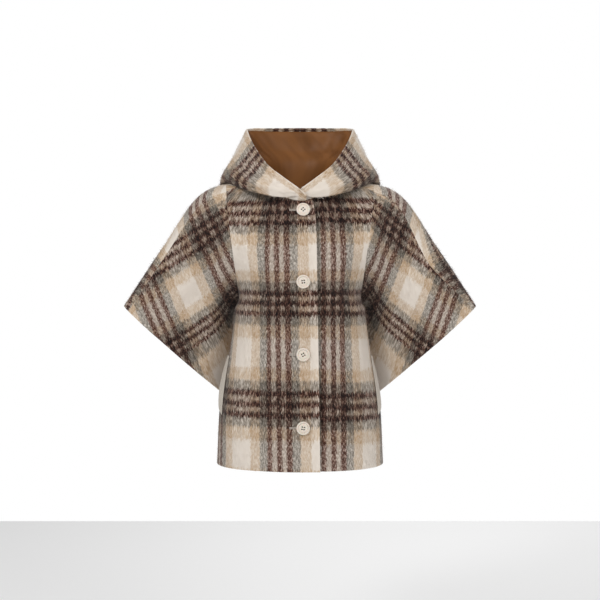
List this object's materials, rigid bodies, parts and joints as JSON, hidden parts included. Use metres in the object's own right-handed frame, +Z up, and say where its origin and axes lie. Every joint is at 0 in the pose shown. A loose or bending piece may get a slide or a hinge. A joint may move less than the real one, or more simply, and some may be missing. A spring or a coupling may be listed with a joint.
{
  "type": "cape coat",
  "caption": "Hooded cape coat in brushed plaid wool with wide square cape sleeves, a buttoned front lap and a satin-lined hood, held open as if worn",
  "frame": {"origin": "middle of the neck opening, level with the tops of the shoulders, where the coat is carried", "axes": "X runs across the shoulders with +X at the wearer's left, -Y faces the front of the coat, +Z is up"},
  "size_m": [0.794, 0.2941, 0.7651],
  "materials": {
    "plaid_wool": "brushed wool in a cream, tan, grey and brown plaid",
    "brown_satin": "smooth brown satin",
    "cream_wool": "plain cream wool",
    "button_resin": "pale cream resin"
  },
  "bodies": {
    "root": {"front_right": "plaid_wool", "front_left": "plaid_wool", "back": "plaid_wool", "sleeve_right_front": "plaid_wool", "sleeve_right_back": "plaid_wool", "sleeve_left_front": "plaid_wool", "sleeve_left_back": "plaid_wool", "hood_right": "plaid_wool", "hood_left": "plaid_wool", "hood_lining": "brown_satin", "neck_facing": "brown_satin", "pocket_welt_right": "cream_wool", "pocket_welt_left": "cream_wool", "button_1": "button_resin", "button_2": "button_resin", "button_3": "button_resin", "button_4": "button_resin"}
  },
  "joints": []
}
